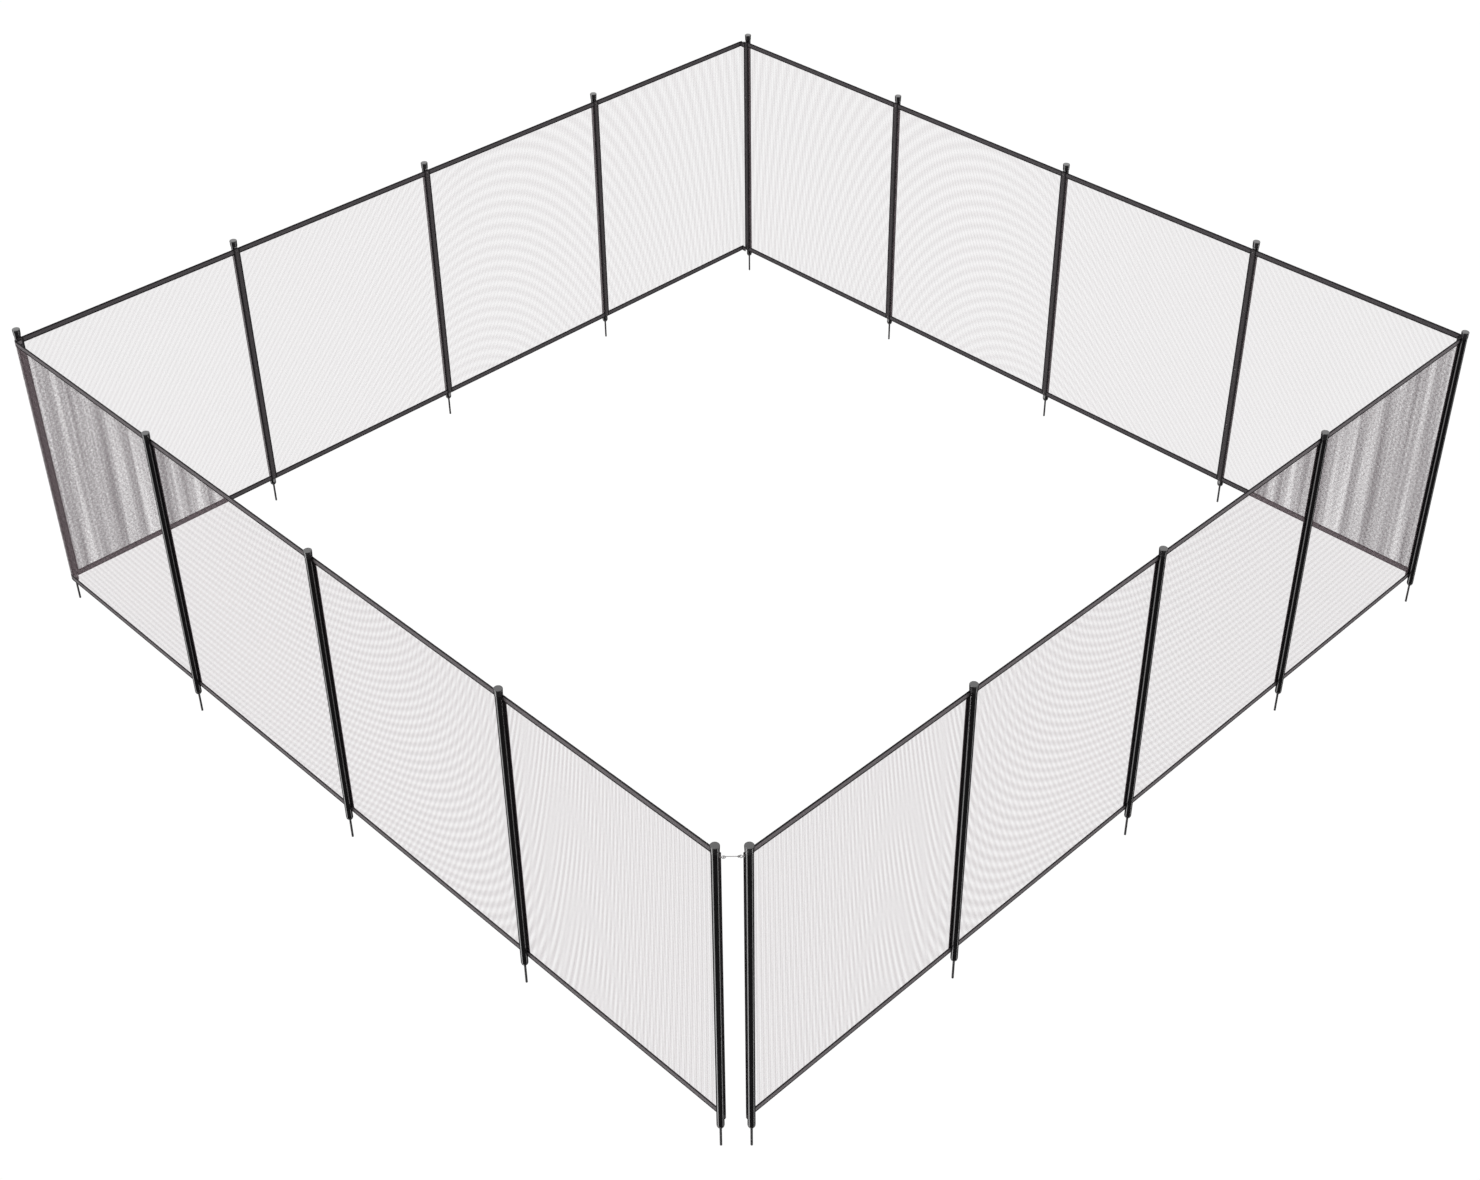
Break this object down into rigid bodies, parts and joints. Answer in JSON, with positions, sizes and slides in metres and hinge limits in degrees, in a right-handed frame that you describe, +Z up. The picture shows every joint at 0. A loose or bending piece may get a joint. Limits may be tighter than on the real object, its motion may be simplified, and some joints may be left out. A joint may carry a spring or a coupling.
{
  "type": "removable mesh pool safety fence",
  "caption": "Square yard of see-through mesh fence on round posts with ground pins, hemmed in webbing, its gate corner held by a hook and eye latch.",
  "frame": {"origin": "on the flat ring under the foot of the left gate post, on its yard side, at deck level", "axes": "+Z up, +X along the right front side, +Y along the left front side, both away from the gate"},
  "size_m": [3.9756, 3.9757, 1.309],
  "materials": {
    "post": "gloss black powder coat",
    "mesh": "open woven mesh",
    "webbing": "woven webbing",
    "cap": "satin moulded plastic",
    "pin": "dark coated steel",
    "latch": "bright stainless wire"
  },
  "bodies": {
    "fence": {"left_gate_post": "post", "left_front_posts": "post", "left_corner_post": "post", "left_back_posts": "post", "far_corner_post": "post", "right_back_posts": "post", "right_corner_post": "post", "right_front_posts": "post", "right_gate_post": "post", "left_front_mesh_1": "mesh", "left_front_mesh_2": "mesh", "left_front_mesh_3": "mesh", "left_front_mesh_4": "mesh", "left_back_mesh_1": "mesh", "left_back_mesh_2": "mesh", "left_back_mesh_3": "mesh", "left_back_mesh_4": "mesh", "right_back_mesh_1": "mesh", "right_back_mesh_2": "mesh", "right_back_mesh_3": "mesh", "right_back_mesh_4": "mesh", "right_front_mesh_1": "mesh", "right_front_mesh_2": "mesh", "right_front_mesh_3": "mesh", "right_front_mesh_4": "mesh", "left_front_top_hem": "webbing", "left_front_bottom_hem": "webbing", "left_back_top_hem": "webbing", "left_back_bottom_hem": "webbing", "right_back_top_hem": "webbing", "right_back_bottom_hem": "webbing", "right_front_top_hem": "webbing", "right_front_bottom_hem": "webbing", "outer_bands": "webbing", "inner_strips": "webbing", "post_caps": "cap", "foot_plugs": "cap", "ground_pins": "pin", "left_latch_eye": "latch", "right_latch_eye": "latch"},
    "hook": {"latch_hook": "latch"}
  },
  "joints": [
    {"name": "latch_hook_lift", "type": "hinge", "parent": "fence", "child": "hook", "pos_m": [0.04138, -0.04738, 1.175], "axis": [0.7071, 0.7071, 0], "range_deg": [0, 90]}
  ]
}
